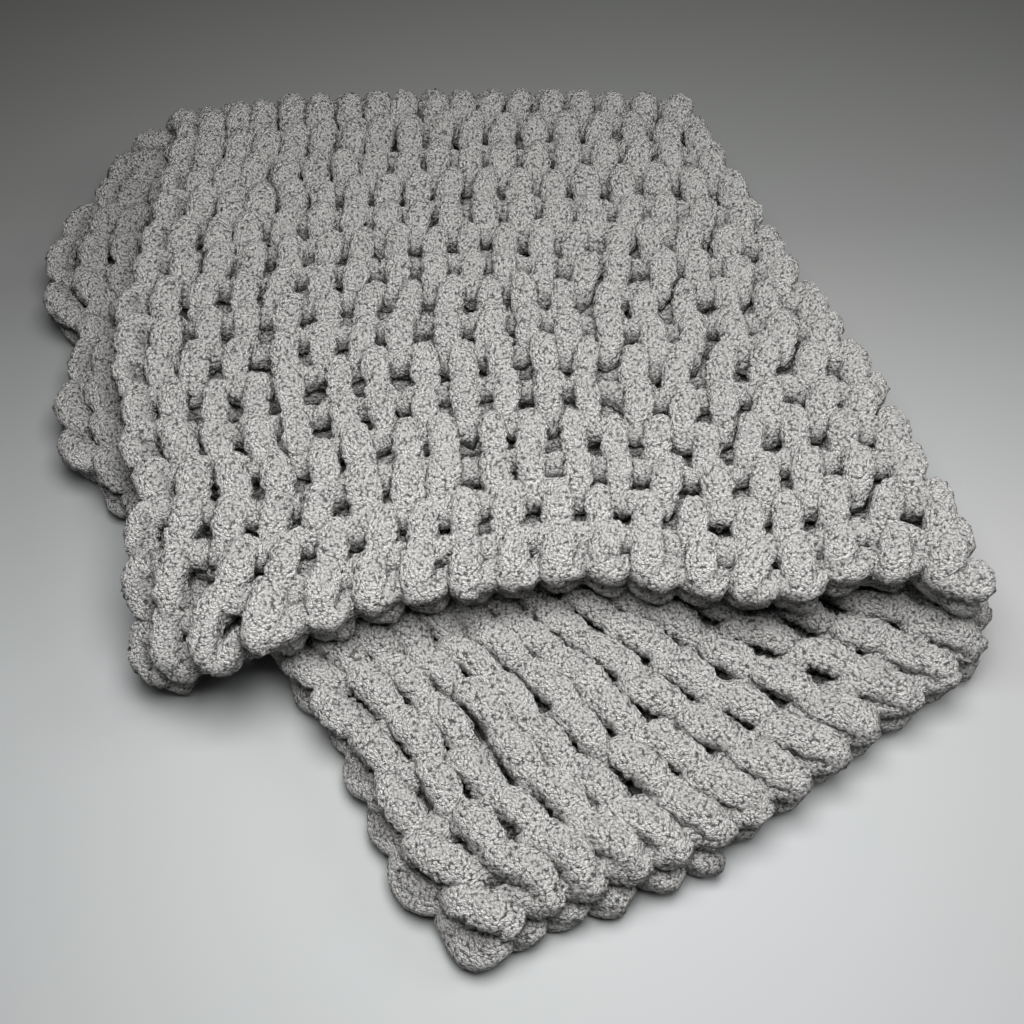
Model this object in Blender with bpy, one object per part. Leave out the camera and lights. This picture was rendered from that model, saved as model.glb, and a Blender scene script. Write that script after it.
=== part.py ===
"""Chunky knit throw of thick chenille yarn, one piece, lying folded.

The throw is folded in half lengthwise, then folded across at the back.
The under end fans out beneath and swings to the front right as a flap.
Metres, +Z up, the floor is z = 0.
"""
import math

import bmesh
import bpy
import numpy as np

# The knit: a stitch is two upright legs side by side.
LEGS = 36
ROWS = 38
LEGS_ACROSS_STRIP = 17
LEGS_ROUND_SIDE_FOLD = 2
ROWS_ON_TOP = 14.5
ROWS_ROUND_BACK_FOLD = 3.5

# Thickness, measured from the middle of a layer.
RIGHT_SIDE = 0.014
WRONG_SIDE = -0.012
FOLDED_IN = 0.002
HALF_LAYER_GAP = 0.016
UNDER_MIDDLE = 0.030
BACK_FOLD_RADIUS = 0.032

# Relief of the right side, above the layer's middle.
LEG_CREST = 0.0135
LEG_TUCK = 0.0100
BAR_LEVEL = 0.0035
GAP_LEVEL = -0.0010
EDGE_RIGHT_SIDE = 0.0050
EDGE_WRONG_SIDE = -0.0060
UNEVEN_LEGS = 0.0010
UNEVEN_SIDEWAYS = 0.08

# Scalloped borders, in legs and rows.
BORDER_OUT = 0.16
BORDER_IN = 0.20

# Outline of the upper strip, plan x and y, from front to back and from right to left.
RIGHT_EDGE = (
    (0.338, 0.372),
    (0.331, 0.439),
    (0.310, 0.505),
    (0.295, 0.572),
    (0.275, 0.639),
    (0.255, 0.705),
    (0.235, 0.772),
    (0.208, 0.842),
    (0.180, 0.916),
)
LEFT_EDGE = (
    (-0.250, 0.340),
    (-0.258, 0.402),
    (-0.264, 0.467),
    (-0.288, 0.539),
    (-0.304, 0.610),
    (-0.312, 0.681),
    (-0.314, 0.753),
    (-0.312, 0.829),
    (-0.306, 0.908),
)
FRONT_EDGE = (
    (0.338, 0.372),
    (0.267, 0.388),
    (0.196, 0.370),
    (0.124, 0.378),
    (0.053, 0.388),
    (-0.018, 0.378),
    (-0.093, 0.364),
    (-0.168, 0.334),
    (-0.250, 0.340),
)
BACK_EDGE = (
    (0.180, 0.916),
    (0.119, 0.930),
    (0.058, 0.935),
    (-0.003, 0.936),
    (-0.063, 0.936),
    (-0.124, 0.934),
    (-0.185, 0.930),
    (-0.246, 0.922),
    (-0.306, 0.908),
)

# Lines of stitches of the under strip, from the back fold to the flap's end.
# Each has its place across the strip, 0 at the right and 1 at the left.
UNDER_LINES = (
    (
        0.00,
        (
            (0.110, 0.916),
            (0.112, 0.800),
            (0.124, 0.710),
            (0.148, 0.632),
            (0.186, 0.566),
            (0.240, 0.525),
            (0.305, 0.508),
        ),
    ),
    (
        0.28,
        (
            (-0.040, 0.935),
            (-0.035, 0.815),
            (-0.006, 0.703),
            (0.050, 0.604),
            (0.135, 0.513),
            (0.244, 0.436),
            (0.362, 0.380),
        ),
    ),
    (
        0.52,
        (
            (-0.160, 0.936),
            (-0.160, 0.804),
            (-0.133, 0.680),
            (-0.077, 0.568),
            (0.012, 0.464),
            (0.126, 0.366),
            (0.250, 0.287),
        ),
    ),
    (
        0.76,
        (
            (-0.281, 0.926),
            (-0.285, 0.777),
            (-0.252, 0.646),
            (-0.177, 0.529),
            (-0.078, 0.424),
            (0.016, 0.310),
            (0.132, 0.210),
        ),
    ),
    (
        1.00,
        (
            (-0.398, 0.908),
            (-0.406, 0.745),
            (-0.364, 0.605),
            (-0.275, 0.490),
            (-0.168, 0.385),
            (-0.086, 0.268),
            (0.006, 0.164),
        ),
    ),
)

# Waves of the under strip's left side: place along it, half length, how far out.
SIDE_WAVES = (
    (0.11, 0.09, 0.028),
    (0.235, 0.05, -0.030),
    (0.36, 0.09, 0.016),
    (0.80, 0.06, -0.008),
    (0.92, 0.06, 0.010),
)

# The upper strip comes down to the floor past this line at its front left corner.
DROP_LINE_POINT = (-0.312, 0.480)
DROP_LINE_INWARD = (0.7026, 0.7117)
DROP_FROM = -0.066
DROP_TO = 0.006

# The flap's tip leans: its upper layer stands back and its lower layer reaches out.
TIP_LEAN = 0.75

# The legs of the upper strip stand closer together toward its left side.
CROWDING = 0.12

# Gentle unevenness of the whole stack.
SWELL = 0.045
SWAY = 0.004

# Loose spots where the gaps between the legs are open, in legs and rows.
# Columns: leg, row, half width, half length, share of gaps that are open.
LOOSE_SPOTS = (
    (6.0, 3.6, 4.6, 2.8, 0.62),
    (9.5, 5.5, 5.0, 3.0, 0.34),
    (14.0, 6.5, 3.5, 4.5, 0.34),
    (5.0, 7.6, 4.0, 2.4, 0.36),
    (9.5, 9.0, 6.0, 2.0, 0.14),
    (29.0, 34.0, 6.0, 3.0, 0.20),
    (22.5, 33.0, 3.0, 4.0, 0.30),
)
OPENING_SHARE = 0.44

YARN_COLOUR = (0.52, 0.51, 0.50, 1.0)


def spline(points, t):
    """Points on a smooth curve through evenly spaced control points."""
    p = np.asarray(points, float)
    p = np.vstack([2 * p[:1] - p[1:2], p, 2 * p[-1:] - p[-2:-1]])
    spans = len(p) - 3
    x = np.asarray(t, float) * spans
    k = np.clip(np.floor(x).astype(int), 0, spans - 1)
    f = (x - k)[..., None]
    a, b, c, d = p[k], p[k + 1], p[k + 2], p[k + 3]
    curve = (2 * a - 5 * b + 4 * c - d) * f + (3 * b - a - 3 * c + d) * f * f
    return b + 0.5 * f * ((c - a) + curve)


def smooth(x, low, high):
    f = np.clip((x - low) / (high - low), 0.0, 1.0)
    return f * f * (3 - 2 * f)


def upper_plan(s, t):
    """Plan position on the upper strip, blended from its four edges."""
    right, left = spline(RIGHT_EDGE, t), spline(LEFT_EDGE, t)
    front, back = spline(FRONT_EDGE, s), spline(BACK_EDGE, s)
    a, b = s[..., None], t[..., None]
    corners = (1 - b) * ((1 - a) * np.array(FRONT_EDGE[0]) + a * np.array(FRONT_EDGE[-1]))
    corners = corners + b * ((1 - a) * np.array(BACK_EDGE[0]) + a * np.array(BACK_EDGE[-1]))
    return (1 - a) * right + a * left + (1 - b) * front + b * back - corners


def under_plan(s, t):
    """Plan position on the under strip, blended from its lines of stitches."""
    places = [place for place, _ in UNDER_LINES]
    lines = [spline(points, t) for _, points in UNDER_LINES]
    last = len(places) - 1
    slopes = []
    for k in range(last + 1):
        before, after = max(k - 1, 0), min(k + 1, last)
        slopes.append((lines[after] - lines[before]) / (places[after] - places[before]))
    total = np.zeros_like(lines[0])
    for k in range(last):
        width = places[k + 1] - places[k]
        f = ((s - places[k]) / width)[..., None]
        piece = (2 * f**3 - 3 * f**2 + 1) * lines[k] + (3 * f**2 - 2 * f**3) * lines[k + 1]
        piece = piece + width * ((f**3 - 2 * f**2 + f) * slopes[k] + (f**3 - f**2) * slopes[k + 1])
        here = (s >= places[k]) if k else np.ones_like(s, bool)
        total = np.where(here[..., None], piece, total)
    ahead = spline(UNDER_LINES[-1][1], t + 0.01) - spline(UNDER_LINES[-1][1], t - 0.01)
    ahead = ahead / np.linalg.norm(ahead, axis=-1, keepdims=True)
    outward = np.stack([ahead[..., 1], -ahead[..., 0]], axis=-1)
    wave = np.zeros_like(s)
    for at, half, out in SIDE_WAVES:
        wave = wave + out * np.exp(-(((t - at) / half) ** 2))
    return total + outward * (wave * smooth(s, 0.35, 1.05))[..., None]


def strip_middle(s, v):
    """Middle surface of the doubled strip. s runs right to left, v counts rows."""
    t_top = np.minimum(v / ROWS_ON_TOP, 1.0)
    turn = np.clip((v - ROWS_ON_TOP) / ROWS_ROUND_BACK_FOLD, 0.0, 1.0) * math.pi
    rows_under = ROWS - ROWS_ON_TOP - ROWS_ROUND_BACK_FOLD
    t_under = np.maximum((v - ROWS_ON_TOP - ROWS_ROUND_BACK_FOLD) / rows_under, 0.0)
    top = upper_plan(s + CROWDING * s * (1 - s), t_top)
    under = under_plan(s, t_under)
    down = ((1 - np.cos(turn)) / 2)[..., None]
    plan = (1 - down) * top + down * under
    out = BACK_FOLD_RADIUS * np.sin(turn)
    inward = (plan[..., 0] - DROP_LINE_POINT[0]) * DROP_LINE_INWARD[0]
    inward = inward + (plan[..., 1] - DROP_LINE_POINT[1]) * DROP_LINE_INWARD[1]
    held_up = smooth(inward, DROP_FROM, DROP_TO)
    lift = 2 * BACK_FOLD_RADIUS * np.where(v < ROWS_ON_TOP, held_up, (1 + np.cos(turn)) / 2)
    return np.stack([plan[..., 0], plan[..., 1] + out, UNDER_MIDDLE + lift], axis=-1)


def unit(a):
    return a / np.linalg.norm(a, axis=-1, keepdims=True)


def on_throw(u, v, height):
    """A point of the throw at leg u and row v, height above the layer's middle."""
    u, v = np.broadcast_arrays(np.asarray(u, float), np.asarray(v, float))
    across = LEGS_ACROSS_STRIP
    s = np.where(u <= LEGS / 2, u, LEGS - u) / across
    s = np.minimum(s, 1.0)
    turn = np.clip((u - across) / LEGS_ROUND_SIDE_FOLD, 0.0, 1.0) * math.pi
    step = 0.002
    middle = strip_middle(s, v)
    along_v = strip_middle(s, v + step) - strip_middle(s, v - step)
    along_s = strip_middle(s + step, v) - strip_middle(s - step, v)
    up = unit(np.cross(along_v, along_s))
    side = unit(np.cross(up, along_v))
    reach = (HALF_LAYER_GAP + height)[..., None]
    cosine, sine = np.cos(turn)[..., None], np.sin(turn)[..., None]
    lean = TIP_LEAN * smooth(v, ROWS - 7.0, ROWS - 1.0) * smooth(s, 0.55, 0.95)
    point = middle + reach * (up * cosine + side * sine)
    point = point + side * lean[..., None] * reach * cosine
    x, y, z = point[..., 0], point[..., 1], point[..., 2]
    swell = 1 + SWELL * np.sin(9.0 * x + 4.0 * y) * np.cos(11.0 * y - 3.0 * x)
    sway = SWAY * np.sin(21.0 * y + 6.0 * x) * smooth(z, 0.02, 0.12)
    return np.stack([x + sway, y + 0.5 * sway, np.maximum(z * swell, 0.0)], axis=-1)


def chance(i, j):
    """A fixed value from 0 to 1 for each place on the knit."""
    value = math.sin(i * 12.9898 + j * 78.233 + 1.7) * 43758.5453
    return value - math.floor(value)


def gap_is_open(i, j):
    """Whether the gap at half leg i and half row j goes through."""
    if i % 2 or not j % 2:
        return False
    leg, row = i / 2, j / 2
    for at_leg, at_row, half_width, half_length, share in LOOSE_SPOTS:
        near = ((leg - at_leg) / half_width) ** 2 + ((row - at_row) / half_length) ** 2
        if near < 1 and chance(i, j) < share:
            return True
    return False


def is_seen(i, j):
    """Whether the cell from half leg i and half row j shows from above."""
    leg, row = i / 2, j / 2
    border = i < 1 or i >= 2 * LEGS - 1 or j < 1 or j >= 2 * ROWS - 1
    upper = leg < 19 and row < 16
    flap = leg >= 18 and row >= 30
    side = 15.5 <= leg < 20.5 and row < 28
    corner_below = 19 <= leg < 24 and row < 3
    tip_below = 13 <= leg < 18 and row >= 33
    return border or upper or flap or side or corner_below or tip_below


def coarse_breaks(count, fine_spans, medium_spans):
    """Where the plain areas are divided: closely over bends, widely elsewhere."""
    breaks, k = [0], 0
    while k < count:
        step = 4
        if any(a <= k < b for a, b in medium_spans):
            step = 2
        if any(a <= k < b for a, b in fine_spans):
            step = 1
        nearest = min([a for a, _ in fine_spans + medium_spans if a > k] + [count])
        k = min(k + step, nearest)
        breaks.append(k)
    return breaks


def face_height(i, j, seen):
    """Height of the right side at half leg i and half row j."""
    on_leg, on_row = i % 2 == 1, j % 2 == 1
    if i in (0, 2 * LEGS) or j in (0, 2 * ROWS):
        return EDGE_RIGHT_SIDE
    if 28 < j < 39 and i > LEGS:
        return FOLDED_IN
    if not seen:
        return RIGHT_SIDE
    if on_leg:
        level = LEG_CREST if on_row else LEG_TUCK
    else:
        level = GAP_LEVEL if on_row else BAR_LEVEL
    return level + UNEVEN_LEGS * (2 * chance(i + 5, j + 3) - 1)


def back_height(i, j):
    if i in (0, 2 * LEGS) or j in (0, 2 * ROWS):
        return EDGE_WRONG_SIDE
    return WRONG_SIDE


def knit_place(i, j, seen):
    """Leg and row of a grid point, with scalloped borders and uneven legs."""
    u, v = i / 2, j / 2
    out_of_row = -1 if j % 2 else 1
    out_of_leg = -1 if i % 2 else 1
    if i == 0:
        u += BORDER_OUT * out_of_row if out_of_row < 0 else BORDER_IN
    elif i == 2 * LEGS:
        u -= BORDER_OUT * out_of_row if out_of_row < 0 else BORDER_IN
    elif seen and i % 2:
        slant = 1 if (i // 2) % 2 else -1
        u += slant * (0.10 if j % 2 else -0.06)
        u += UNEVEN_SIDEWAYS * (2 * chance(i, j + 9) - 1)
    if j == 0:
        v += BORDER_OUT * out_of_leg if out_of_leg < 0 else BORDER_IN
    elif j == 2 * ROWS:
        v -= BORDER_OUT * out_of_leg if out_of_leg < 0 else BORDER_IN
    elif seen and i % 2:
        v += 0.16 * (2 * chance(i + 2, 7) - 1)
    return u, v


def grid_faces(kept_fine, holes, breaks_u, breaks_v):
    """Loops of grid places for one side: fine cells where wanted, wide plain ones elsewhere."""
    blocks, cells = [], []

    def divide(i0, i1, j0, j1):
        if not any(kept_fine[i][j] for i in range(i0, i1) for j in range(j0, j1)):
            blocks.append((i0, i1, j0, j1))
        elif (i1 - i0, j1 - j0) == (1, 1):
            cells.append((i0, j0))
        else:
            half_i, half_j = (i0 + i1 + 1) // 2, (j0 + j1 + 1) // 2
            for a, b in ((i0, half_i), (half_i, i1)):
                for c, d in ((j0, half_j), (half_j, j1)):
                    if a < b and c < d:
                        divide(a, b, c, d)

    for i0, i1 in zip(breaks_u, breaks_u[1:]):
        for j0, j1 in zip(breaks_v, breaks_v[1:]):
            divide(i0, i1, j0, j1)
    kept = set()
    for i, j in cells:
        kept |= {(i, j), (i + 1, j), (i + 1, j + 1), (i, j + 1)}
    for i0, i1, j0, j1 in blocks:
        kept |= {(i0, j0), (i1, j0), (i1, j1), (i0, j1)}
    loops = []
    for i, j in cells:
        corners = [(i, j), (i + 1, j), (i + 1, j + 1), (i, j + 1)]
        first = (i + j) % 2
        corners = corners[first:] + corners[:first]
        if holes & set(corners):
            loops.append(corners)
        else:
            loops += [corners[:3], [corners[2], corners[3], corners[0]]]
    for i0, i1, j0, j1 in blocks:
        ring = [(i, j0) for i in range(i0, i1)]
        ring += [(i1, j) for j in range(j0, j1)]
        ring += [(i, j1) for i in range(i1, i0, -1)]
        ring += [(i0, j) for j in range(j1, j0, -1)]
        loops.append([p for p in ring if p in kept])
    return loops


def border_places():
    """Grid places round the throw's border, in order."""
    wide, long = 2 * LEGS, 2 * ROWS
    ring = [(i, 0) for i in range(wide)]
    ring += [(wide, j) for j in range(long)]
    ring += [(i, long) for i in range(wide, 0, -1)]
    ring += [(0, j) for j in range(long, 0, -1)]
    return ring


def opening_corner(hole, neighbour):
    """Leg and row of an opening's corner toward a neighbouring grid place."""
    u = hole[0] / 2 + OPENING_SHARE * (neighbour[0] - hole[0]) / 2
    v = hole[1] / 2 + OPENING_SHARE * (neighbour[1] - hole[1]) / 2
    return u, v


def build_throw():
    wide, long = 2 * LEGS, 2 * ROWS
    seen = [[is_seen(i, j) for j in range(long)] for i in range(wide)]
    holes = []
    for i in range(4, wide - 3):
        for j in range(3, long - 2):
            if gap_is_open(i, j) and all(seen[a][b] for a in (i - 1, i) for b in (j - 1, j)):
                holes.append((i, j))
    hole_set = set(holes)
    near_hole = [[False] * long for _ in range(wide)]
    for i, j in holes:
        for a in (i - 1, i):
            for b in (j - 1, j):
                near_hole[a][b] = True
    breaks_u = coarse_breaks(wide, [(0, 1), (33, 39), (wide - 1, wide)], [(21, 33), (39, 51)])
    breaks_v = coarse_breaks(long, [(0, 1), (28, 37), (long - 1, long)], [(1, 9)])
    border = border_places()
    on_border = set(border)
    rim_fine = [[False] * long for _ in range(wide)]
    for i in range(wide):
        for j in range(long):
            rim_fine[i][j] = near_hole[i][j] or i in (0, wide - 1) or j in (0, long - 1)
    sides = {
        1: grid_faces(seen, hole_set, breaks_u, breaks_v),
        -1: grid_faces(rim_fine, hole_set, breaks_u, breaks_v),
    }
    places, wanted = {}, []

    def vertex(key, u, v, height):
        if key not in places:
            places[key] = len(wanted)
            wanted.append((u, v, height))
        return places[key]

    def grid_vertex(place, side):
        i, j = place
        shown = any(
            seen[a][b]
            for a in (i - 1, i)
            for b in (j - 1, j)
            if 0 <= a < wide and 0 <= b < long
        )
        u, v = knit_place(i, j, shown and side > 0 or place in on_border)
        height = face_height(i, j, shown) if side > 0 else back_height(i, j)
        return vertex((side, place), u, v, height)

    def corner_vertex(hole, neighbour, side):
        u, v = opening_corner(hole, neighbour)
        height = GAP_LEVEL + 0.002 if side > 0 else WRONG_SIDE + 0.001
        return vertex((side, hole, neighbour), u, v, height)

    faces = []
    for side, loops in sides.items():
        for loop in loops:
            ids = []
            for k, place in enumerate(loop):
                if place in hole_set:
                    ids.append(corner_vertex(place, loop[k - 1], side))
                    ids.append(corner_vertex(place, loop[(k + 1) % len(loop)], side))
                else:
                    ids.append(grid_vertex(place, side))
            if side > 0:
                ids.reverse()
            faces.append(ids)
    for k, place in enumerate(border):
        after = border[(k + 1) % len(border)]
        faces.append([
            grid_vertex(place, 1),
            grid_vertex(after, 1),
            grid_vertex(after, -1),
            grid_vertex(place, -1),
        ])
    for i, j in holes:
        around = [(i + 1, j), (i, j + 1), (i - 1, j), (i, j - 1)]
        for k, a in enumerate(around):
            b = around[(k + 1) % 4]
            faces.append([
                corner_vertex((i, j), b, 1),
                corner_vertex((i, j), a, 1),
                corner_vertex((i, j), a, -1),
                corner_vertex((i, j), b, -1),
            ])
    wanted = np.array(wanted)
    points = on_throw(wanted[:, 0], wanted[:, 1], wanted[:, 2])
    low, high = points.min(axis=0), points.max(axis=0)
    points = points - np.array([(low[0] + high[0]) / 2, (low[1] + high[1]) / 2, low[2]])
    return points, faces


def add_blanket():
    points, faces = build_throw()
    mesh = bpy.data.meshes.new("blanket")
    mesh.from_pydata([tuple(p) for p in points], [], faces)
    shape = bmesh.new()
    shape.from_mesh(mesh)
    bmesh.ops.recalc_face_normals(shape, faces=shape.faces)
    bmesh.ops.triangulate(shape, faces=shape.faces)
    shape.to_mesh(mesh)
    shape.free()
    mesh.update()
    blanket = bpy.data.objects.new("blanket", mesh)
    bpy.context.scene.collection.objects.link(blanket)
    yarn = bpy.data.materials.new("chenille_yarn")
    yarn.use_nodes = True
    surface = yarn.node_tree.nodes["Principled BSDF"]
    surface.inputs["Base Color"].default_value = YARN_COLOUR
    surface.inputs["Roughness"].default_value = 0.95
    mesh.materials.append(yarn)
    return blanket


for stale in list(bpy.data.objects):
    bpy.data.objects.remove(stale, do_unlink=True)
add_blanket()
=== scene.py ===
"""Chunky knit throw of thick chenille yarn, folded with a flap swung out.

Every course of the knit is a strand of plush yarn that runs through the
legs and the bars of its stitches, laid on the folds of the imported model.
"""

import logging
import math
from dataclasses import dataclass, field
from enum import Enum

import bpy
import numpy as np
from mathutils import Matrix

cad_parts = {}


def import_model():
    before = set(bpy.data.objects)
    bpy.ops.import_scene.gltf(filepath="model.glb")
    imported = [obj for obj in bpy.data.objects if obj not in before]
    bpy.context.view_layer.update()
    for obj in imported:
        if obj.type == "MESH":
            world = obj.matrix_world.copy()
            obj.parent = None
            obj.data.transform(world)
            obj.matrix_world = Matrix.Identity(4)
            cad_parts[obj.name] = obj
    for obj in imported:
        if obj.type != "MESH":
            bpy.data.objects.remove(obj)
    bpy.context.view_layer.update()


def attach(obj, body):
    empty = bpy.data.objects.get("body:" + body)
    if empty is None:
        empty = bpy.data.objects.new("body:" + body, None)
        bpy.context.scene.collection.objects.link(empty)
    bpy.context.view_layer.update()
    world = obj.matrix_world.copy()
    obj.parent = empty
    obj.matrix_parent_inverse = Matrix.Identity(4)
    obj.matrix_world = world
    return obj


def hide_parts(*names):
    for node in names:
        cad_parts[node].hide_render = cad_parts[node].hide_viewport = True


logging.basicConfig(level=logging.INFO, format="%(message)s")
log = logging.getLogger("knit_throw")

Table = tuple[tuple[float, ...], ...]
Colour = tuple[float, float, float, float]


class Cover(Enum):
    """Which end of a stitch's leg lies over its neighbour's."""

    LATER_ROW = "the end toward the later row lies on top"
    EARLIER_ROW = "the end toward the earlier row lies on top"


class Grade(Enum):
    """How finely a stretch of yarn is made: ring spacing in metres and sides."""

    FINE = (0.0028, 20)
    MEDIUM = (0.0050, 14)
    PLAIN = (0.0085, 8)


def spline(points: np.ndarray, t: np.ndarray) -> np.ndarray:
    """Points on a smooth curve through evenly spaced control points.

    Args:
        points: The control points, one in each row.
        t: Places on the curve, from 0 at its start to 1 at its end.

    Returns:
        One point for each place.
    """
    p = np.asarray(points, float)
    p = np.vstack([2 * p[:1] - p[1:2], p, 2 * p[-1:] - p[-2:-1]])
    spans = len(p) - 3
    x = np.asarray(t, float) * spans
    k = np.clip(np.floor(x).astype(int), 0, spans - 1)
    f = (x - k)[..., None]
    a, b, c, d = p[k], p[k + 1], p[k + 2], p[k + 3]
    curve = (2 * a - 5 * b + 4 * c - d) * f + (3 * b - a - 3 * c + d) * f * f
    return b + 0.5 * f * ((c - a) + curve)


def smooth(x: np.ndarray, low: float, high: float) -> np.ndarray:
    """A soft step from 0 at low to 1 at high."""
    f = np.clip((x - low) / (high - low), 0.0, 1.0)
    return f * f * (3 - 2 * f)


def unit(a: np.ndarray) -> np.ndarray:
    """Vectors scaled to length one."""
    return a / np.linalg.norm(a, axis=-1, keepdims=True)


def chance(i: np.ndarray | float, j: np.ndarray | float) -> np.ndarray:
    """A fixed value from 0 to 1 for each place on the knit."""
    angle = np.asarray(i, float) * 12.9898 + np.asarray(j, float) * 78.233 + 1.7
    value = np.sin(angle) * 43758.5453
    return value - np.floor(value)


def either_way(i: np.ndarray | float, j: np.ndarray | float) -> np.ndarray:
    """A fixed value from -1 to 1 for each place on the knit."""
    return 2 * chance(i, j) - 1


@dataclass(frozen=True)
class Folds:
    """The way the throw is folded: leg, row and height to a place in the room."""

    legs: int = 36
    rows: int = 38
    legs_across_strip: float = 17
    legs_round_side_fold: float = 2
    rows_on_top: float = 14.5
    rows_round_back_fold: float = 3.5
    half_layer_gap: float = 0.016
    under_middle: float = 0.030
    back_fold_radius: float = 0.032
    plan_centre: tuple[float, float] = (-0.04409, 0.56881)
    right_edge: Table = (
        (0.338, 0.372), (0.331, 0.439), (0.310, 0.505), (0.295, 0.572), (0.275, 0.639),
        (0.255, 0.705), (0.235, 0.772), (0.208, 0.842), (0.180, 0.916),
    )
    left_edge: Table = (
        (-0.250, 0.340), (-0.258, 0.402), (-0.264, 0.467), (-0.288, 0.539), (-0.304, 0.610),
        (-0.312, 0.681), (-0.314, 0.753), (-0.312, 0.829), (-0.306, 0.908),
    )
    front_edge: Table = (
        (0.338, 0.372), (0.267, 0.388), (0.196, 0.370), (0.124, 0.378), (0.053, 0.388),
        (-0.018, 0.378), (-0.093, 0.364), (-0.168, 0.334), (-0.250, 0.340),
    )
    back_edge: Table = (
        (0.180, 0.916), (0.119, 0.930), (0.058, 0.935), (-0.003, 0.936), (-0.063, 0.936),
        (-0.124, 0.934), (-0.185, 0.930), (-0.246, 0.922), (-0.306, 0.908),
    )
    under_places: tuple[float, ...] = (0.00, 0.28, 0.52, 0.76, 1.00)
    under_lines: tuple[Table, ...] = (
        ((0.110, 0.916), (0.112, 0.800), (0.124, 0.710), (0.148, 0.632), (0.186, 0.566),
         (0.240, 0.525), (0.305, 0.508)),
        ((-0.040, 0.935), (-0.035, 0.815), (-0.006, 0.703), (0.050, 0.604), (0.135, 0.513),
         (0.244, 0.436), (0.362, 0.380)),
        ((-0.160, 0.936), (-0.160, 0.804), (-0.133, 0.680), (-0.077, 0.568), (0.012, 0.464),
         (0.126, 0.366), (0.250, 0.287)),
        ((-0.281, 0.926), (-0.285, 0.777), (-0.252, 0.646), (-0.177, 0.529), (-0.078, 0.424),
         (0.016, 0.310), (0.132, 0.210)),
        ((-0.398, 0.908), (-0.406, 0.745), (-0.364, 0.605), (-0.275, 0.490), (-0.168, 0.385),
         (-0.086, 0.268), (0.006, 0.164)),
    )
    side_waves: Table = (
        (0.11, 0.09, 0.028), (0.235, 0.05, -0.030), (0.36, 0.09, 0.016), (0.80, 0.06, -0.008),
        (0.92, 0.06, 0.010),
    )
    drop_line_point: tuple[float, float] = (-0.312, 0.480)
    drop_line_inward: tuple[float, float] = (0.7026, 0.7117)
    drop_from: float = -0.066
    drop_to: float = 0.006
    crowding: float = 0.12
    tip_lean: float = 0.75
    swell: float = 0.045
    sway: float = 0.004
    floor_clearance: float = 0.0003

    def upper_plan(self, s: np.ndarray, t: np.ndarray) -> np.ndarray:
        """Plan position on the upper strip, blended from its four edges."""
        right, left = spline(self.right_edge, t), spline(self.left_edge, t)
        front, back = spline(self.front_edge, s), spline(self.back_edge, s)
        a, b = s[..., None], t[..., None]
        near = (1 - a) * np.array(self.front_edge[0]) + a * np.array(self.front_edge[-1])
        far = (1 - a) * np.array(self.back_edge[0]) + a * np.array(self.back_edge[-1])
        return (1 - a) * right + a * left + (1 - b) * (front - near) + b * (back - far)

    def under_plan(self, s: np.ndarray, t: np.ndarray) -> np.ndarray:
        """Plan position on the under strip, blended from its lines of stitches."""
        places = self.under_places
        lines = [spline(points, t) for points in self.under_lines]
        last = len(places) - 1
        slopes = []
        for k in range(last + 1):
            before, after = max(k - 1, 0), min(k + 1, last)
            slopes.append((lines[after] - lines[before]) / (places[after] - places[before]))
        total = np.zeros_like(lines[0])
        for k in range(last):
            width = places[k + 1] - places[k]
            f = ((s - places[k]) / width)[..., None]
            piece = (2 * f**3 - 3 * f**2 + 1) * lines[k] + (3 * f**2 - 2 * f**3) * lines[k + 1]
            bend = (f**3 - 2 * f**2 + f) * slopes[k] + (f**3 - f**2) * slopes[k + 1]
            here = (s >= places[k]) if k else np.ones_like(s, bool)
            total = np.where(here[..., None], piece + width * bend, total)
        edge = self.under_lines[-1]
        ahead = unit(spline(edge, t + 0.01) - spline(edge, t - 0.01))
        outward = np.stack([ahead[..., 1], -ahead[..., 0]], axis=-1)
        wave = np.zeros_like(s)
        for at, half, out in self.side_waves:
            wave = wave + out * np.exp(-(((t - at) / half) ** 2))
        return total + outward * (wave * smooth(s, 0.35, 1.05))[..., None]

    def strip_middle(self, s: np.ndarray, v: np.ndarray) -> np.ndarray:
        """Middle surface of the doubled strip, s from right to left, v in rows."""
        t_top = np.minimum(v / self.rows_on_top, 1.0)
        turn = np.clip((v - self.rows_on_top) / self.rows_round_back_fold, 0.0, 1.0) * math.pi
        under_from = self.rows_on_top + self.rows_round_back_fold
        t_under = np.maximum((v - under_from) / (self.rows - under_from), 0.0)
        top = self.upper_plan(s + self.crowding * s * (1 - s), t_top)
        under = self.under_plan(s, t_under)
        down = ((1 - np.cos(turn)) / 2)[..., None]
        plan = (1 - down) * top + down * under
        out = self.back_fold_radius * np.sin(turn)
        inward = (plan[..., 0] - self.drop_line_point[0]) * self.drop_line_inward[0]
        inward = inward + (plan[..., 1] - self.drop_line_point[1]) * self.drop_line_inward[1]
        held_up = smooth(inward, self.drop_from, self.drop_to)
        share = np.where(v < self.rows_on_top, held_up, (1 + np.cos(turn)) / 2)
        lift = 2 * self.back_fold_radius * share
        return np.stack([plan[..., 0], plan[..., 1] + out, self.under_middle + lift], axis=-1)

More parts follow.
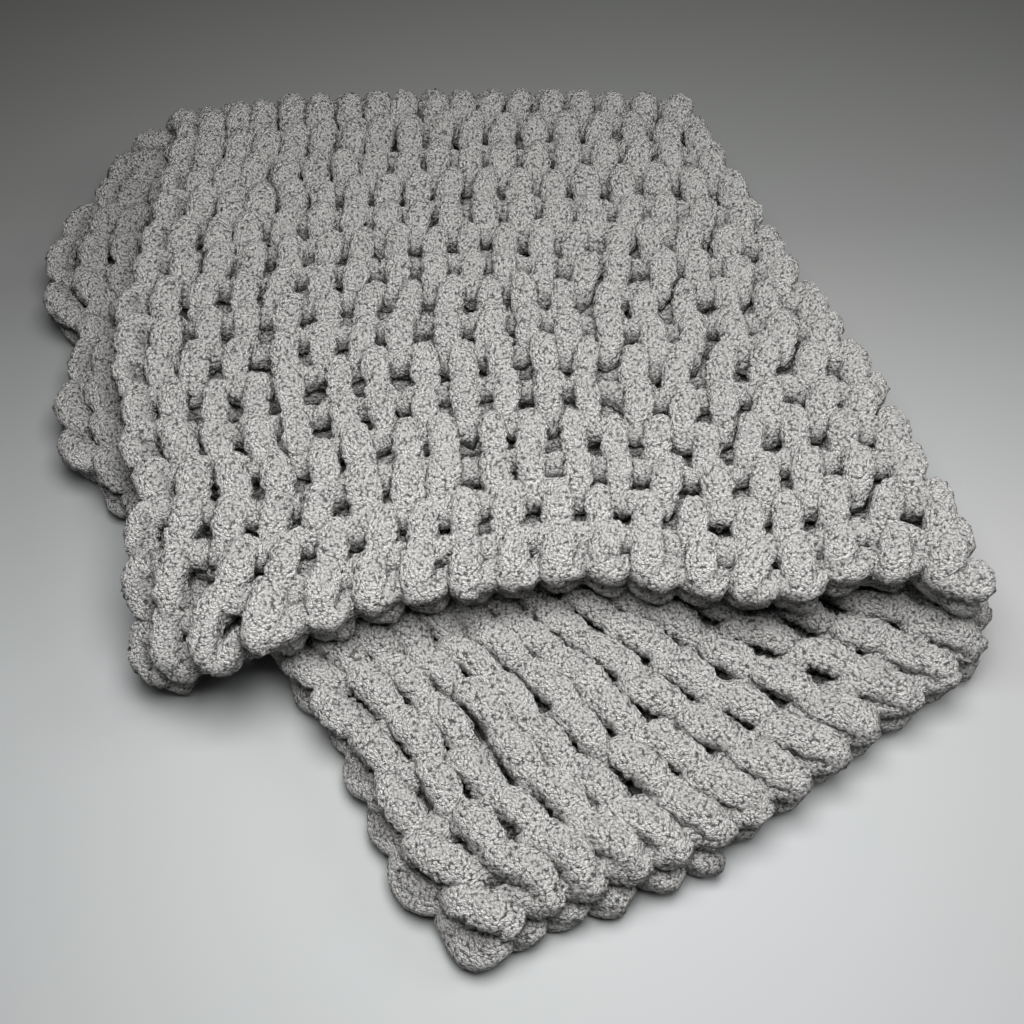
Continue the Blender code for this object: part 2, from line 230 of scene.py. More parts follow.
    def place(self, u: np.ndarray, v: np.ndarray, height: np.ndarray) -> np.ndarray:
        """Places in the room of points of the knit.

        Args:
            u: Legs counted across the knit.
            v: Rows counted along the knit.
            height: Height over the middle of the layer, in metres.

        Returns:
            The points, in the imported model's frame.
        """
        across = self.legs_across_strip
        s = np.minimum(np.where(u <= self.legs / 2, u, self.legs - u) / across, 1.0)
        turn = np.clip((u - across) / self.legs_round_side_fold, 0.0, 1.0) * math.pi
        step = 0.002
        middle = self.strip_middle(s, v)
        along_v = self.strip_middle(s, v + step) - self.strip_middle(s, v - step)
        along_s = self.strip_middle(s + step, v) - self.strip_middle(s - step, v)
        up = unit(np.cross(along_v, along_s))
        side = unit(np.cross(up, along_v))
        reach = (self.half_layer_gap + height)[..., None]
        cosine, sine = np.cos(turn)[..., None], np.sin(turn)[..., None]
        lean = self.tip_lean * smooth(v, self.rows - 7.0, self.rows - 1.0)
        lean = (lean * smooth(s, 0.55, 0.95))[..., None]
        point = middle + reach * (up * cosine + side * sine) + side * lean * reach * cosine
        x, y, z = point[..., 0], point[..., 1], point[..., 2]
        swell = 1 + self.swell * np.sin(9.0 * x + 4.0 * y) * np.cos(11.0 * y - 3.0 * x)
        sway = self.sway * np.sin(21.0 * y + 6.0 * x) * smooth(z, 0.02, 0.12)
        x = x + sway - self.plan_centre[0]
        y = y + 0.5 * sway - self.plan_centre[1]
        return np.stack([x, y, z * swell], axis=-1)


@dataclass(frozen=True)
class LooseSpots:
    """Where the knit is slack, so that the gaps between the legs stand open."""

    spots: Table = (
        (6.0, 3.6, 4.6, 2.8, 0.62),
        (9.5, 5.5, 5.0, 3.0, 0.34),
        (14.0, 6.5, 3.5, 4.5, 0.34),
        (5.0, 7.6, 4.0, 2.4, 0.36),
        (9.5, 9.0, 6.0, 2.0, 0.14),
        (29.0, 34.0, 6.0, 3.0, 0.20),
        (22.5, 33.0, 3.0, 4.0, 0.30),
    )

    def is_open(self, leg: int, row: int) -> bool:
        """Whether the gap on the right of a leg, inside a row, stands open."""
        middle = row + 0.5
        for at_leg, at_row, half_width, half_length, share in self.spots:
            near = ((leg - at_leg) / half_width) ** 2 + ((middle - at_row) / half_length) ** 2
            if near < 1 and chance(2 * leg, 2 * row + 1) < share:
                return True
        return False

    def slack(self, leg: float, row: float) -> float:
        """How slack the knit is at a place, from 0 to 1."""
        most = 0.0
        for at_leg, at_row, half_width, half_length, _ in self.spots:
            near = ((leg - at_leg) / half_width) ** 2 + ((row - at_row) / half_length) ** 2
            most = max(most, 1.0 - near)
        return max(0.0, min(1.0, 1.6 * most))


@dataclass(frozen=True)
class Stitch:
    """Sizes of one stitch, heights over the layer's middle in metres.

    A profile has four points from a leg's low end to its high one: place along
    the row, share of the crest's height, drop, and share of the yarn's radius.
    """

    radius: float = 0.0123
    bar_radius: float = 0.0102
    bar_height: float = -0.0086
    under_height: float = -0.0098
    crest_height: float = 0.0052
    plump_profile: Table = (
        (-0.06, 0.00, 0.0, 0.74), (0.23, 0.52, 0.0, 0.96),
        (0.60, 1.00, 0.0, 1.07), (0.99, 1.00, 0.0014, 0.94),
    )
    side_profile: Table = (
        (-0.04, 0.00, 0.0035, 0.66), (0.26, 0.75, 0.0, 1.00),
        (0.60, 1.00, 0.0, 1.12), (0.95, 1.00, 0.0030, 0.84),
    )
    zigzag: float = 0.11
    plait: float = -0.19
    plait_to: float = 18.0
    hidden_plait: float = 0.6
    gap_shift: float = 0.06
    slack_thinning: float = 0.13
    last_top_leg: int = 17
    last_early_row: int = 16
    last_row: int = 37
    edge_rows: int = 2
    edge_fullness: float = 0.93
    first_flap_row: int = 29
    flap_slack: float = 0.3
    flap_fullness: float = 0.99
    flap_plunge: float = 0.0014
    flap_lean: float = 0.13
    flap_zigzag: float = 0.6
    side_legs: tuple[int, int] = (13, 22)
    side_lean: float = 0.14
    first_hidden_edge_leg: int = 19
    end_inset: float = 0.10
    end_inset_spread: float = 0.14
    end_height: float = -0.0040
    bar_tightness: float = 0.22
    bar_lift: float = 0.0012
    turn_inset: float = 0.40
    hidden_turn_inset: float = 0.54
    turn_fullness: float = 0.90
    uneven_height: float = 0.0016
    uneven_leg: float = 0.065
    uneven_row: float = 0.12
    uneven_lean: float = 0.09
    uneven_radius: float = 0.08

    def cover(self, row: int) -> Cover:
        """Which end of the legs lies on top in a row."""
        return Cover.LATER_ROW if row <= self.last_early_row else Cover.EARLIER_ROW

    def on_flap(self, row: int) -> bool:
        """Whether a row lies on the flap."""
        return row >= self.first_flap_row

    def in_side_fold(self, leg: int, row: int) -> bool:
        """Whether a leg lies round the side fold of the under half."""
        first, last = self.side_legs
        return self.last_early_row < row <= self.first_flap_row and first <= leg <= last

    def fullness(self, leg: int, row: int, slack: float) -> float:
        """A leg's share of the yarn's radius."""
        size = 1 + self.uneven_radius * either_way(leg + 1, row + 4) - self.slack_thinning * slack
        if self.on_flap(row):
            return size * self.flap_fullness
        return size * self.edge_fullness if row < self.edge_rows else size

    def lean(self, leg: int, row: int) -> float:
        """How far a leg leans, in legs to each side of its middle."""
        if self.in_side_fold(leg, row):
            return self.side_lean * either_way(leg + 5, row + 7)
        if self.on_flap(row):
            most = self.flap_lean
        elif leg <= self.last_top_leg:
            most = self.plait * max(0.0, 1 - (leg / self.plait_to) ** 2)
        else:
            most = self.hidden_plait * self.plait
        return most + self.uneven_lean * either_way(leg + 13, row + 1)

    def profile(self, leg: int, row: int) -> list[tuple[float, float, float]]:
        """Place along the row, height and share of the radius of a leg's points."""
        rise = self.uneven_height * either_way(leg + 7, row + 2)
        crest, under = self.crest_height + rise, self.under_height + rise
        if self.on_flap(row):
            crest, under = crest + 0.5 * self.flap_plunge, under - self.flap_plunge
        table = self.side_profile if self.in_side_fold(leg, row) else self.plump_profile
        shape = [
            (along, (1 - share) * under + share * crest - drop, full)
            for along, share, drop, full in table
        ]
        if row in (0, self.last_row):
            blunt = self.end_inset + self.end_inset_spread * chance(leg + 4, row + 2)
            if row == 0 and leg >= self.first_hidden_edge_leg:
                blunt += self.end_inset_spread
            shape[:2] = [(blunt, self.end_height, 0.92), (blunt + 0.24, crest - 0.0006, 1.06)]
        return shape

    def leg(self, leg: int, row: int, loose: LooseSpots) -> list[tuple[float, ...]]:
        """Control points of one leg, from its low row end to its high row end.

        Args:
            leg: The leg's number across the knit.
            row: The row's number.
            loose: Where the knit is slack.

        Returns:
            Leg, row, height and radius of each control point.
        """
        slack = loose.slack(leg + 0.5, row + 0.5) * (self.flap_slack if self.on_flap(row) else 1.0)
        left, right = loose.is_open(leg, row), loose.is_open(leg + 1, row)
        shift = self.gap_shift * (int(left) - int(right))
        shift += self.uneven_leg * either_way(leg, row + 9)
        shift += self.zigzag if row % 2 == 0 else -self.zigzag
        if self.on_flap(row):
            shift *= self.flap_zigzag
        drift = self.uneven_row * either_way(leg + 3, row + 5)
        size = self.radius * self.fullness(leg, row, slack)
        lean = self.lean(leg, row)
        points = []
        for along, height, full in self.profile(leg, row):
            at = along if self.cover(row) is Cover.LATER_ROW else 1 - along
            across = leg + 0.5 + shift + lean * (2 * at - 1)
            points.append((across, row + at + drift, height, size * full))
        if self.cover(row) is Cover.EARLIER_ROW:
            points.reverse()
        return points

    def bar(self, boundary: int, level: float, loose: LooseSpots) -> tuple[float, ...]:
        """Leg, row, height and radius of a bar's middle between two legs."""
        tight = 1 - loose.slack(boundary, level)
        radius = self.bar_radius * (1.0 + self.bar_tightness * tight)
        if level in (0, self.last_row + 1):
            radius *= self.turn_fullness
        if level == 0:
            seen = boundary <= self.first_hidden_edge_leg
            level = self.turn_inset if seen else self.hidden_turn_inset
        elif level == self.last_row + 1:
            level -= self.turn_inset
        drift = 0.8 * self.uneven_row * either_way(boundary + 11, level + 6)
        rise = self.uneven_height * either_way(boundary + 2, level + 8)
        return boundary, level + drift, self.bar_height + rise + self.bar_lift * tight, radius


@dataclass
class Course:
    """The strand of one row, side edge to side edge.

    The selvedge and the edging have points of place across, place along, height
    and share of the yarn's radius.
    """

    row: int
    folds: Folds
    stitch: Stitch
    loose: LooseSpots
    selvedge: Table = (
        (0.22, 0.56, -0.0010, 0.80), (0.10, 0.30, -0.0010, 1.06), (0.18, 0.02, -0.0035, 0.98),
    )
    edging_out: float = -0.24
    edging_spread: float = 0.10
    hidden_edging_out: float = -0.16

    def controls(self) -> np.ndarray:
        """Control points of the strand: leg, row, height and radius."""
        legs, row, stitch = self.folds.legs, self.row, self.stitch
        bar = stitch.bar_radius
        points: list[tuple[float, ...]] = [
            (inset, row + along, height, bar * full) for inset, along, height, full in self.selvedge
        ]
        for leg in range(legs):
            body = stitch.leg(leg, row, self.loose)
            goes_up = leg % 2 == 0
            if not goes_up:
                body = body[::-1]
            start_level, end_level = (row, row + 1.0) if goes_up else (row + 1.0, row)
            first, last = body[0], body[-1]
            if leg:
                before = stitch.bar(leg, start_level, self.loose)
                points.append(before)
                points.append(self.corner(before, first))
            points += body
            if leg < legs - 1:
                after = stitch.bar(leg + 1, end_level, self.loose)
                points.append(self.corner(after, last))
        points += [
            (legs - inset, row + along, height, bar * full)
            for inset, along, height, full in reversed(self.selvedge)
        ]
        return np.array(points, float)

    def edging(self, outward: float) -> np.ndarray:
        """Control points of the plain edge course along a cast-on or cast-off edge.

        Args:
            outward: -1 along the first row's edge and 1 along the last row's.

        Returns:
            Leg, row, height and radius of each control point.
        """
        radius = self.stitch.radius
        level = 0.0 if outward < 0 else float(self.folds.rows)
        points = []
        for leg in range(self.folds.legs):
            out = self.edging_out + self.edging_spread * chance(leg + 2, level + 3)
            side = 0.06 * either_way(leg + 9, level)
            if outward < 0 and leg >= self.stitch.first_hidden_edge_leg:
                out += self.hidden_edging_out
            points.append((leg + 0.02, level + (out - 0.22) * outward, -0.0080, 0.68 * radius))
            for across in (0.38, 0.62):
                points.append((leg + across + side, level + out * outward, -0.0050, 0.86 * radius))
        points.append((self.folds.legs - 0.06, level - 0.30 * outward, -0.0060, 0.70 * radius))
        return np.array(points, float)

    @staticmethod
    def corner(bar: tuple[float, ...], end: tuple[float, ...]) -> tuple[float, ...]:
        """The turn between a bar's middle and the end of a leg."""
        across = 0.42 * bar[0] + 0.58 * end[0]
        along = 0.70 * bar[1] + 0.30 * end[1]
        height = 0.55 * bar[2] + 0.45 * end[2]
        return across, along, height, 0.5 * (bar[3] + end[3])


@dataclass(frozen=True)
class Stretch:
    """A part of the knit that one piece takes, in legs and rows."""

    from_leg: float
    to_leg: float
    from_row: int
    to_row: int
    grade: Grade


@dataclass
class KnitPiece:
    """One piece of the throw: a set of stretches of yarn, joined as one mesh."""

    name: str
    stretches: tuple[Stretch, ...]
    folds: Folds
    stitch: Stitch
    loose: LooseSpots
    tuft_height: float = 0.0013
    pile_height: float = 0.0018
    medium_relief: tuple[float, float] = (0.6, 0.25)
    end_sizes: tuple[float, float] = (0.55, 0.90)
    # Painted shade on the yarn: how its low parts, such as the bars, and the sides of the tube are
    # darkened.
    shade_low: float = 0.009
    shade_range: float = 0.013
    shade_lift: float = 0.55
    shade_from: float = -0.36
    shade_to: float = 0.72
    verts: list[np.ndarray] = field(default_factory=list)
    faces: list[np.ndarray] = field(default_factory=list)
    shades: list[np.ndarray] = field(default_factory=list)
    count: int = 0

    def build(self) -> bpy.types.Object:
        """Makes the piece's mesh and object.

        Returns:
            The piece, at the origin.
        """
        for stretch in self.stretches:
            for row in range(stretch.from_row, stretch.to_row):
                course = Course(row, self.folds, self.stitch, self.loose)
                self.add_strand(course.controls(), stretch)
                if row == 0:
                    self.add_strand(course.edging(-1.0), stretch)
                if row == self.folds.rows - 1:
                    self.add_strand(course.edging(1.0), stretch)
        mesh = bpy.data.meshes.new(self.name)
        points = np.concatenate(self.verts)
        points[:, 2] = np.maximum(points[:, 2], self.folds.floor_clearance)
        quads = np.concatenate([f for f in self.faces if f.shape[1] == 4])
        caps = [tuple(int(i) for i in f) for g in self.faces if g.shape[1] != 4 for f in g]
        mesh.from_pydata([tuple(p) for p in points.tolist()], [], quads.tolist() + caps)
        mesh.update()
        # The painted shade values go on the mesh, for the material to darken the yarn's sides and
        # low parts with.
        painted_shade_map = mesh.attributes.new("painted_shade_map", "FLOAT", "POINT")
        painted_shade_map.data.foreach_set("value", np.concatenate(self.shades).astype(np.float32))
        mesh.polygons.foreach_set("use_smooth", np.ones(len(mesh.polygons), bool))
        piece = bpy.data.objects.new(self.name, mesh)
        bpy.context.scene.collection.objects.link(piece)
        return piece

    def add_strand(self, controls: np.ndarray, stretch: Stretch) -> None:
        """Adds the tube of one course between two places across the knit.

        Args:
            controls: Control points of the whole course.
            stretch: The part of the knit that is wanted and its grade.
        """
        spacing, sides = stretch.grade.value
        dense = spline(controls, np.linspace(0.0, 1.0, 14 * len(controls)))
        inside = (dense[:, 0] >= stretch.from_leg) & (dense[:, 0] <= stretch.to_leg)
        picked = np.nonzero(inside)[0]
        if len(picked) < 4:
            return
        dense = dense[picked[0]:picked[-1] + 1]
        path = self.folds.place(dense[:, 0], dense[:, 1], dense[:, 2])
        outward = unit(self.folds.place(dense[:, 0], dense[:, 1], dense[:, 2] + 0.002) - path)
        for _ in range(3):
            path[1:-1] = 0.25 * path[:-2] + 0.5 * path[1:-1] + 0.25 * path[2:]
        lengths = np.linalg.norm(np.diff(path, axis=0), axis=1)
        travelled = np.concatenate([[0.0], np.cumsum(lengths)])
        rings = max(4, int(round(travelled[-1] / spacing)))
        at = np.linspace(0.0, travelled[-1], rings)
        line = np.stack([np.interp(at, travelled, path[:, k]) for k in range(3)], axis=1)
        out = np.stack([np.interp(at, travelled, outward[:, k]) for k in range(3)], axis=1)
        radius = np.interp(at, travelled, dense[:, 3])
        lift = np.interp(at, travelled, dense[:, 2])
        self.add_tube(line, radius, sides, out, lift)

    def add_tube(
        self, line: np.ndarray, radius: np.ndarray, sides: int, out: np.ndarray, lift: np.ndarray
    ) -> None:
        """Adds a closed tube of plush yarn, with painted shade values that are lower on its sides
        and its low parts.

        Args:
            line: Points along the middle of the yarn.
            radius: The yarn's radius at each point.
            sides: How many sides the tube has.
            out: The direction away from the cloth at each point.
            lift: The yarn's height over the layer's middle at each point, in metres.
        """
        ahead = unit(np.gradient(line, axis=0))
        across = np.empty_like(ahead)
        normal = unit(np.cross(ahead[0], [0.31, 0.22, 0.93]))
        for k, direction in enumerate(ahead):
            normal = normal - direction * normal.dot(direction)
            normal = normal / np.linalg.norm(normal)
            across[k] = normal
        third = np.cross(ahead, across)
        ends = np.minimum(np.arange(len(line)), np.arange(len(line))[::-1])
        last_size, next_size = self.end_sizes
        radius = radius * np.where(ends == 0, last_size, np.where(ends == 1, next_size, 1.0))
        angle = np.linspace(0.0, 2 * math.pi, sides, endpoint=False)
        cosine, sine = np.cos(angle)[None, :, None], np.sin(angle)[None, :, None]
        ring = across[:, None] * cosine + third[:, None] * sine
        place = line[:, None] + ring * radius[:, None, None]
        pile = self.pile_height * either_way(place[..., 0] * 7919.0, place[..., 1] * 6101.0)
        if sides >= Grade.FINE.value[1]:
            place = place + ring * (self.tufts(place) + pile)[..., None]
        elif sides >= Grade.MEDIUM.value[1]:
            tuft_share, pile_share = self.medium_relief
            relief = tuft_share * self.tufts(place) + pile_share * pile
            place = place + ring * relief[..., None]
        # Painted shade: the sides of the tube and its low parts, such as the bars, get lower
        # values, which darken the yarn's colour.
        facing = (ring * out[:, None]).sum(axis=-1)
        raised = np.clip((lift[:, None] + self.shade_low) / self.shade_range, 0.0, 1.0)
        bonus = np.where(facing > 0, self.shade_lift * (raised - 0.5), 0.0)
        shade = smooth(np.abs(facing) + bonus, self.shade_from, self.shade_to)
        self.shades.append(shade.reshape(-1))
        first = self.count
        self.verts.append(place.reshape(-1, 3))
        rings = len(line)
        k, j = np.meshgrid(np.arange(rings - 1), np.arange(sides), indexing="ij")
        a = first + k * sides + j
        b = first + k * sides + (j + 1) % sides
        self.faces.append(np.stack([a, b, b + sides, a + sides], axis=-1).reshape(-1, 4))
        last = first + (rings - 1) * sides
        self.faces.append(np.array([[first + j for j in range(sides)][::-1]]))
        self.faces.append(np.array([[last + j for j in range(sides)]]))
        self.count += rings * sides

    def tufts(self, place: np.ndarray) -> np.ndarray:
        """Unevenness of the plush surface at points of it, in metres."""
        x, y, z = 1000 * place[..., 0], 1000 * place[..., 1], 1000 * place[..., 2]
        coarse = np.sin(0.41 * x + 1.3 * np.sin(0.23 * y))
        coarse = coarse * np.sin(0.37 * y + 1.1 * np.sin(0.29 * z))
        middle = np.sin(0.83 * x + 0.31 * z + 1.7) * np.sin(0.79 * y - 0.45 * x)
        middle = middle * np.cos(0.71 * z + 0.2 * y)
        fine = np.sin(1.45 * x - 0.6 * y) * np.sin(1.37 * y + 0.8 * z + 0.5)
        fine = fine * np.cos(1.21 * z - 0.3 * x)
        return self.tuft_height * (0.45 * coarse + 0.45 * middle + 0.55 * fine)


@dataclass(frozen=True)
class ChenilleFinish:
    """Short plush pile in pale warm grey, with painted shadows between the tufts and painted shade
    on the sides and low parts of the yarn.
    """

    slot: str = "chenille_yarn"
    # The middle and hollow colours paint shade on the sides of the tufts and in the crevices
    # between them, mixed with the fibres' uneven tone.
    tuft: Colour = (0.82, 0.804, 0.782, 1.0)
    middle: Colour = (0.42, 0.412, 0.40, 1.0)
    hollow: Colour = (0.10, 0.098, 0.095, 1.0)
    hollow_at: float = 0.19
    middle_at: float = 0.40
    tuft_at: float = 0.80
    # Share of the colour left where the painted shade on the yarn's sides and low parts is darkest.
    darkest_painted_shade: float = 0.24
    tufts_per_metre: float = 420.0
    fibres_per_metre: float = 1200.0
    bends_per_metre: float = 760.0
    bend: float = 0.0019
    fray: float = 1.10
    fray_base: float = 0.38
    dome_power: float = 1.7
    relief: float = 0.0088
    roughness: float = 0.96
    specular: float = 0.2
    sheen: float = 0.06
    sheen_roughness: float = 0.6

    def material(self) -> bpy.types.Material:
        """Makes the material of the yarn.

        Returns:
            A node-based material on object coordinates.
        """
        made = bpy.data.materials.new(self.slot)
        made.use_nodes = True
        tree = made.node_tree
        nodes, links = tree.nodes, tree.links
        surface = nodes["Principled BSDF"]
        surface.inputs["Roughness"].default_value = self.roughness
        surface.inputs["Specular IOR Level"].default_value = self.specular
        surface.inputs["Sheen Weight"].default_value = self.sheen
        surface.inputs["Sheen Roughness"].default_value = self.sheen_roughness
        where = nodes.new("ShaderNodeTexCoord")
        warp = nodes.new("ShaderNodeTexNoise")
        warp.inputs["Scale"].default_value = self.bends_per_metre
        warp.inputs["Detail"].default_value = 2.0
        links.new(where.outputs["Object"], warp.inputs["Vector"])
        shift = nodes.new("ShaderNodeVectorMath")
        shift.operation = "MULTIPLY_ADD"
        shift.inputs[1].default_value = (self.bend, self.bend, self.bend)
        links.new(warp.outputs["Color"], shift.inputs[0])
        links.new(where.outputs["Object"], shift.inputs[2])
        curl = nodes.new("ShaderNodeTexVoronoi")
        curl.inputs["Scale"].default_value = self.tufts_per_metre
        links.new(shift.outputs["Vector"], curl.inputs["Vector"])
        fibre = nodes.new("ShaderNodeTexNoise")
        fibre.inputs["Scale"].default_value = self.fibres_per_metre
        fibre.inputs["Detail"].default_value = 2.0
        links.new(where.outputs["Object"], fibre.inputs["Vector"])
        fray = nodes.new("ShaderNodeMath")
        fray.operation = "MULTIPLY_ADD"
        fray.inputs[1].default_value = self.fray
        fray.inputs[2].default_value = self.fray_base
        links.new(fibre.outputs["Fac"], fray.inputs[0])
        dome = nodes.new("ShaderNodeMath")
        dome.operation = "POWER"
        dome.inputs[1].default_value = self.dome_power
        links.new(curl.outputs["Distance"], dome.inputs[0])
        pile = nodes.new("ShaderNodeMath")
        pile.operation = "SUBTRACT"
        links.new(fray.outputs["Value"], pile.inputs[0])
        links.new(dome.outputs["Value"], pile.inputs[1])
        # The ramp puts painted shade in the crevices between the tufts and keeps their middles
        # light, mixed with the fibres' uneven tone.
        shade = nodes.new("ShaderNodeValToRGB")
        ramp = shade.color_ramp
        ramp.elements[0].position = self.hollow_at
        ramp.elements[0].color = self.hollow
        ramp.elements[1].position = self.tuft_at
        ramp.elements[1].color = self.tuft
        between = ramp.elements.new(self.middle_at)
        between.color = self.middle
        links.new(pile.outputs["Value"], shade.inputs["Fac"])
        # Painted shade: the attribute darkens the colour on the sides and low parts of the yarn.
        painted_shade_map = nodes.new("ShaderNodeAttribute")
        painted_shade_map.attribute_name = "painted_shade_map"
        clear = nodes.new("ShaderNodeMapRange")
        clear.inputs["To Min"].default_value = self.darkest_painted_shade
        links.new(painted_shade_map.outputs["Fac"], clear.inputs["Value"])
        dim = nodes.new("ShaderNodeVectorMath")
        dim.operation = "SCALE"
        links.new(shade.outputs["Color"], dim.inputs[0])
        links.new(clear.outputs["Result"], dim.inputs["Scale"])
        links.new(dim.outputs["Vector"], surface.inputs["Base Color"])
        bump = nodes.new("ShaderNodeBump")
        bump.inputs["Strength"].default_value = 1.0
        bump.inputs["Distance"].default_value = self.relief
        links.new(pile.outputs["Value"], bump.inputs["Height"])
        links.new(bump.outputs["Normal"], surface.inputs["Normal"])
        return made

    def dress(self, piece: bpy.types.Object, material: bpy.types.Material) -> None:
        """Puts the finish on a piece."""
        piece.data.materials.append(material)


@dataclass
class Throw:
    """The whole knit throw, in a few pieces of one yarn."""

    folds: Folds = field(default_factory=Folds)
    stitch: Stitch = field(default_factory=Stitch)
    loose: LooseSpots = field(default_factory=LooseSpots)
    finish: ChenilleFinish = field(default_factory=ChenilleFinish)
    flat_size: tuple[float, float] = (1.30, 1.48)

    def layout(self) -> dict[str, tuple[Stretch, ...]]:
        """Which stretches of the knit each piece takes."""
        last = self.folds.legs + 1.0
        return {
            "knit_top_front": (Stretch(-1.0, 16.0, 0, 8, Grade.FINE),),
            "knit_top_back": (Stretch(-1.0, 16.0, 8, 17, Grade.FINE),),
            "knit_side_fold": (
                Stretch(16.0, 19.6, 0, 14, Grade.FINE),
                Stretch(16.0, 21.0, 14, 29, Grade.FINE),
            ),
            "knit_flap": (
                Stretch(18.0, last, 29, 34, Grade.FINE),
            ),
            "knit_flap_end": (
                Stretch(18.0, last, 34, 38, Grade.FINE),
                Stretch(11.0, 18.0, 32, 34, Grade.MEDIUM),
                Stretch(-1.0, 18.0, 34, 38, Grade.MEDIUM),
            ),
            "knit_under": (
                Stretch(19.6, 21.0, 0, 14, Grade.PLAIN),
                Stretch(21.0, 32.0, 0, 1, Grade.MEDIUM),
                Stretch(21.0, 32.0, 1, 17, Grade.PLAIN),
                Stretch(32.0, last, 0, 17, Grade.MEDIUM),
                Stretch(-1.0, 3.0, 17, 32, Grade.MEDIUM),
                Stretch(3.0, 16.0, 17, 32, Grade.PLAIN),
                Stretch(16.0, 18.0, 29, 32, Grade.PLAIN),
                Stretch(-1.0, 11.0, 32, 34, Grade.PLAIN),
                Stretch(21.0, 33.0, 17, 29, Grade.PLAIN),
                Stretch(33.0, last, 17, 29, Grade.MEDIUM),
            ),
        }

    def build(self) -> list[bpy.types.Object]:
        """Makes, dresses and places all the pieces.

        Returns:
            The pieces, the knit_under piece first.
        """
        material = self.finish.material()
        made = {}
        for name, stretches in self.layout().items():
            piece = KnitPiece(name, stretches, self.folds, self.stitch, self.loose).build()
            self.finish.dress(piece, material)
            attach(piece, "root")
            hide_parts("blanket")
            made[name] = piece
            log.info("%s: %d faces", name, len(piece.data.polygons))
        main_piece = made.pop("knit_under")
        return [main_piece, *made.values()]


@dataclass(frozen=True)
class Lamp:
    """One square studio lamp: place and size in metres, turn in degrees, power in watts."""

    name: str
    place: tuple[float, float, float]
    turn: tuple[float, float, float]
    size: float
    power: float


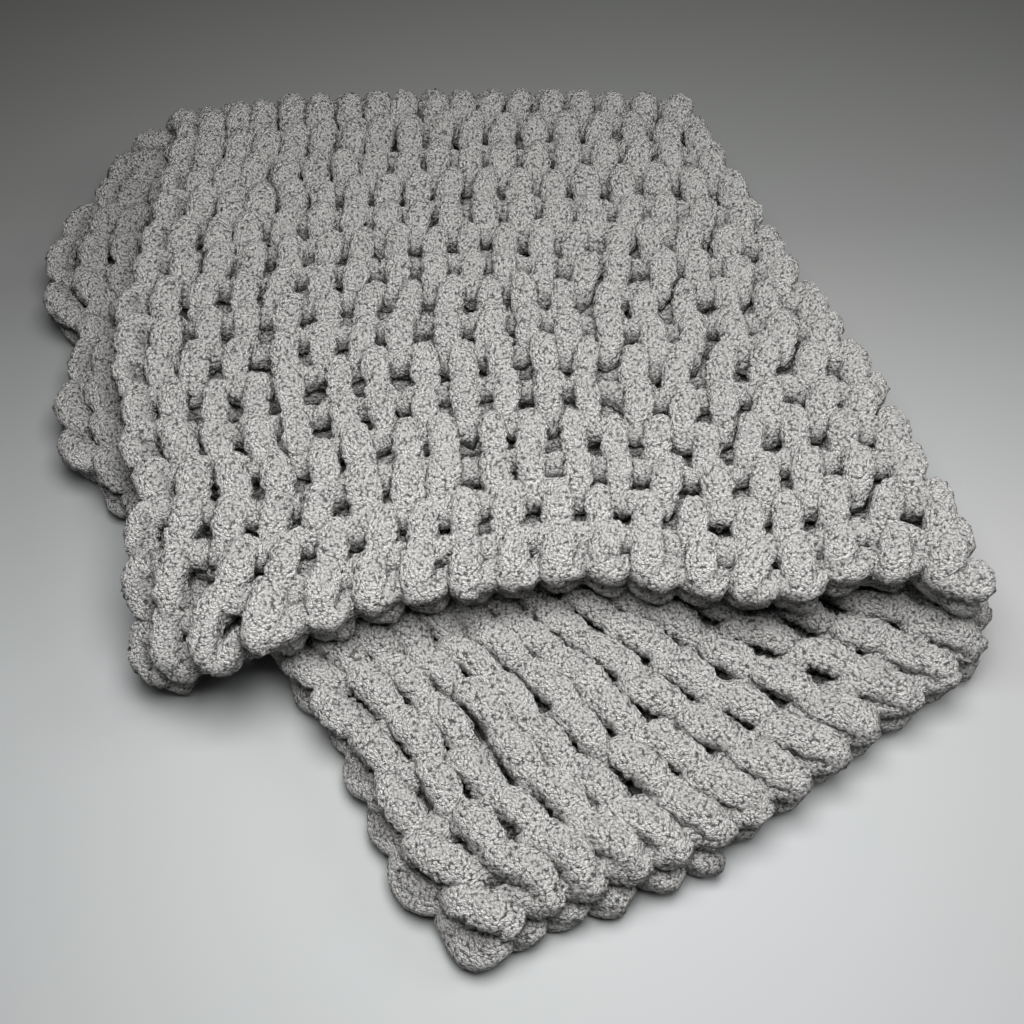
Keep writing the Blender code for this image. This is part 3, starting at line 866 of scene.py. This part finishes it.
@dataclass(frozen=True)
class Studio:
    """Floor with a painted falloff of light, soft light and the camera."""

    lamps: tuple[Lamp, ...] = (
        Lamp("overhead", (0.07, -0.28, 0.88), (0.0, 0.0, 0.0), 0.50, 18.5),
        Lamp("side_window", (1.00, -0.05, 0.90), (0.0, 50.0, 0.0), 0.5, 6.0),
    )
    room_tone: Colour = (0.80, 0.82, 0.84, 1.0)
    room_strength: float = 0.05
    floor_size: float = 14.0
    floor_roughness: float = 0.7
    # Painted light falloff on the floor: lighter in front, darker towards the back.
    painted_falloff_direction: tuple[float, float, float] = (-0.12, 1.0, 0.0)
    painted_falloff_from: float = -0.45
    painted_falloff_to: float = 0.75
    near_floor_painted_light: Colour = (0.256, 0.261, 0.262, 1.0)
    far_floor_painted_shade: Colour = (0.21, 0.213, 0.202, 1.0)
    speck_share: float = 0.06
    floor_painted_falloff: tuple[tuple[float, Colour], ...] = (
        (0.24, (0.272, 0.277, 0.278, 1.0)),
        (0.40, (0.236, 0.24, 0.24, 1.0)),
        (0.62, (0.19, 0.194, 0.19, 1.0)),
    )
    camera_place: tuple[float, float, float] = (0.0441, -0.5688, 0.74)
    camera_tilt: float = 35.0
    lens: float = 36.2

    def floor(self) -> bpy.types.Object:
        """Makes the pale floor, with a painted falloff of light: lighter in front, darker towards
        the back.
        """
        bpy.ops.mesh.primitive_plane_add(size=self.floor_size, location=(0.0, 0.0, 0.0))
        floor = bpy.context.object
        floor.name = "studio_floor"
        paint = bpy.data.materials.new("pale_floor")
        paint.use_nodes = True
        nodes, links = paint.node_tree.nodes, paint.node_tree.links
        surface = nodes["Principled BSDF"]
        surface.inputs["Roughness"].default_value = self.floor_roughness
        where = nodes.new("ShaderNodeTexCoord")
        grain = nodes.new("ShaderNodeTexNoise")
        grain.inputs["Scale"].default_value = 3.0
        links.new(where.outputs["Object"], grain.inputs["Vector"])
        apart = nodes.new("ShaderNodeVectorMath")
        apart.operation = "DOT_PRODUCT"
        apart.inputs[1].default_value = self.painted_falloff_direction
        links.new(where.outputs["Object"], apart.inputs[0])
        along = nodes.new("ShaderNodeMapRange")
        along.inputs["From Min"].default_value = self.painted_falloff_from
        along.inputs["From Max"].default_value = self.painted_falloff_to
        links.new(apart.outputs["Value"], along.inputs["Value"])
        # Painted light falloff: the floor's colour runs from lit in front to shaded at the back.
        shade = nodes.new("ShaderNodeValToRGB")
        ramp = shade.color_ramp
        ramp.elements[0].color = self.near_floor_painted_light
        ramp.elements[1].color = self.far_floor_painted_shade
        for position, colour in self.floor_painted_falloff:
            ramp.elements.new(position).color = colour
        links.new(along.outputs["Result"], shade.inputs["Fac"])
        speck = nodes.new("ShaderNodeMix")
        speck.data_type = "RGBA"
        speck.blend_type = "MULTIPLY"
        speck.inputs["Factor"].default_value = self.speck_share
        links.new(shade.outputs["Color"], speck.inputs["A"])
        links.new(grain.outputs["Color"], speck.inputs["B"])
        links.new(speck.outputs["Result"], surface.inputs["Base Color"])
        floor.data.materials.append(paint)
        return floor

    def camera(self) -> bpy.types.Object:
        """Makes the camera at the photograph's viewing angle."""
        bpy.ops.object.camera_add(
            location=self.camera_place, rotation=(math.radians(self.camera_tilt), 0.0, 0.0)
        )
        camera = bpy.context.object
        camera.data.lens = self.lens
        camera.data.sensor_width = 36.0
        camera.data.clip_start = 0.01
        bpy.context.scene.camera = camera
        return camera

    def lights(self) -> None:
        """Makes the soft studio lights."""
        for lamp in self.lamps:
            turn = tuple(math.radians(a) for a in lamp.turn)
            bpy.ops.object.light_add(type="AREA", location=lamp.place, rotation=turn)
            light = bpy.context.object
            light.name = lamp.name
            light.data.size = lamp.size
            light.data.energy = lamp.power
        world = bpy.data.worlds.new("soft_room")
        world.use_nodes = True
        background = world.node_tree.nodes["Background"]
        background.inputs["Color"].default_value = self.room_tone
        background.inputs["Strength"].default_value = self.room_strength
        bpy.context.scene.world = world
        bpy.context.scene.view_settings.view_transform = "Standard"


def main() -> None:
    """Builds the throw and its studio."""
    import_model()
    bpy.ops.object.select_all(action="DESELECT")
    studio = Studio()
    studio.camera()
    studio.lights()
    studio.floor()
    pieces = Throw().build()
    log.info("%d pieces of knit", len(pieces))


if __name__ == "__main__":
    main()
